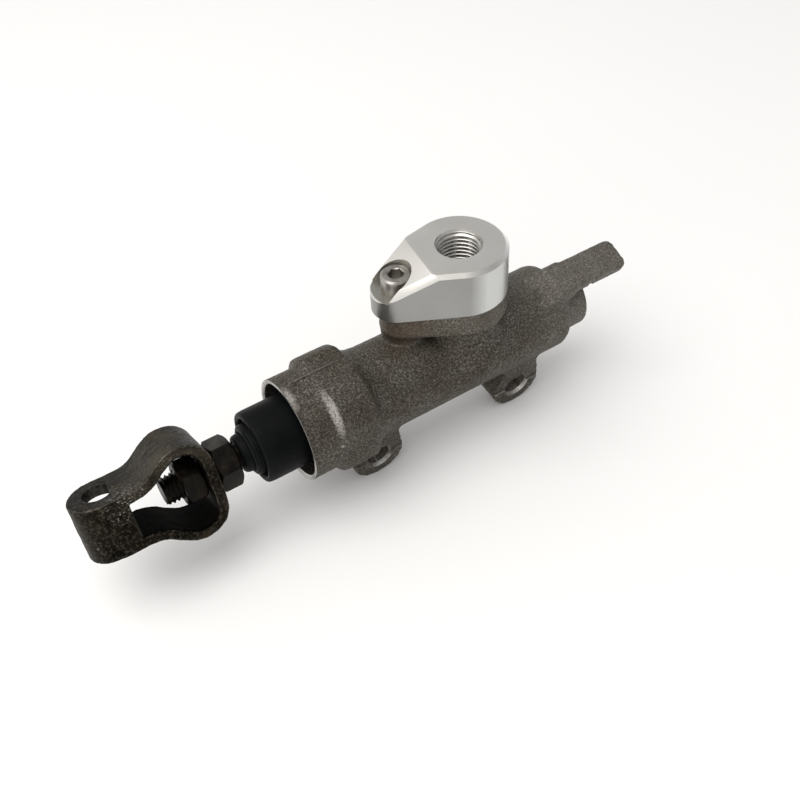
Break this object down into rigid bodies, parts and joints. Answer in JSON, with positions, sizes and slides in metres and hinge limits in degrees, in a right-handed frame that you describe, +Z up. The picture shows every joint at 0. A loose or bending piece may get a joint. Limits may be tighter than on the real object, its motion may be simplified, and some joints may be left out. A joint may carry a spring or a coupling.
{
  "type": "brake master cylinder",
  "caption": "Rear motorcycle brake master cylinder: cast cylinder body with lugs, machined reservoir adapter, rubber boot, threaded push rod and steel clevis.",
  "frame": {"origin": "middle of the bounding box's underside, below the bore's axis", "axes": "+X along the bore towards the outlet, +Z up through the reservoir port, -Y towards the side that the lugs' outer faces look to"},
  "size_m": [0.1722, 0.0338, 0.0638],
  "materials": {
    "cast_aluminium": "rough sand-cast, dark and worn, brighter on handled edges",
    "machined_aluminium": "satin milled, clear anodised",
    "screw_steel": "stainless, lightly worn",
    "boot_rubber": "satin black moulded rubber",
    "seal_rubber": "smooth black rubber",
    "dark_steel": "black oxide, oily, with brown rust in the roots",
    "clevis_steel": "stamped, brown-grey, nicked and worn at the edges",
    "spring_steel": "bright drawn wire and pressed sheet",
    "piston_aluminium": "turned and anodised"
  },
  "bodies": {
    "housing": {"cylinder_body": "cast_aluminium", "reservoir_adapter": "machined_aluminium", "adapter_screw": "screw_steel", "adapter_o_ring": "seal_rubber", "circlip": "spring_steel", "stop_plate": "spring_steel", "rubber_boot": "boot_rubber", "return_spring": "spring_steel"},
    "piston": {"piston": "piston_aluminium", "primary_cup": "seal_rubber", "secondary_cup": "seal_rubber", "spring_seat": "spring_steel"},
    "pushrod": {"pushrod": "dark_steel"},
    "joint_nut": {"joint_nut": "dark_steel"},
    "lock_nut": {"lock_nut": "dark_steel"},
    "clevis": {"clevis": "clevis_steel"}
  },
  "joints": [
    {"name": "brake_stroke", "type": "slide", "parent": "housing", "child": "piston", "axis": [1, 0, 0], "range_m": [0, 0.01], "stiffness_N_per_m": 1500, "springref_m": -0.015, "deforming": ["return_spring", "rubber_boot"]},
    {"name": "pushrod_swivel", "type": "hinge", "parent": "piston", "child": "pushrod", "pos_m": [0.00265, 0, 0.02662], "axis": [0, 0.3584, 0.9336], "range_deg": [-2, 2], "stiffness_Nm_per_rad": 1.5},
    {"name": "clevis_travel", "type": "slide", "parent": "pushrod", "child": "joint_nut", "axis": [1, 0, 0], "range_m": [-0.00375, 0.00125]},
    {"name": "clevis_turn", "type": "hinge", "parent": "joint_nut", "child": "clevis", "pos_m": [-0.05085, 0, 0.02662], "axis": [1, 0, 0], "range_deg": [-1080, 360]},
    {"name": "lock_nut_spin", "type": "hinge", "parent": "joint_nut", "child": "lock_nut", "pos_m": [-0.04585, 0, 0.02662], "axis": [1, 0, 0], "continuous": true}
  ],
  "couplings": [
    {"joint": "clevis_travel", "follows": "clevis_turn", "m_per_rad": 0.0001989}
  ]
}
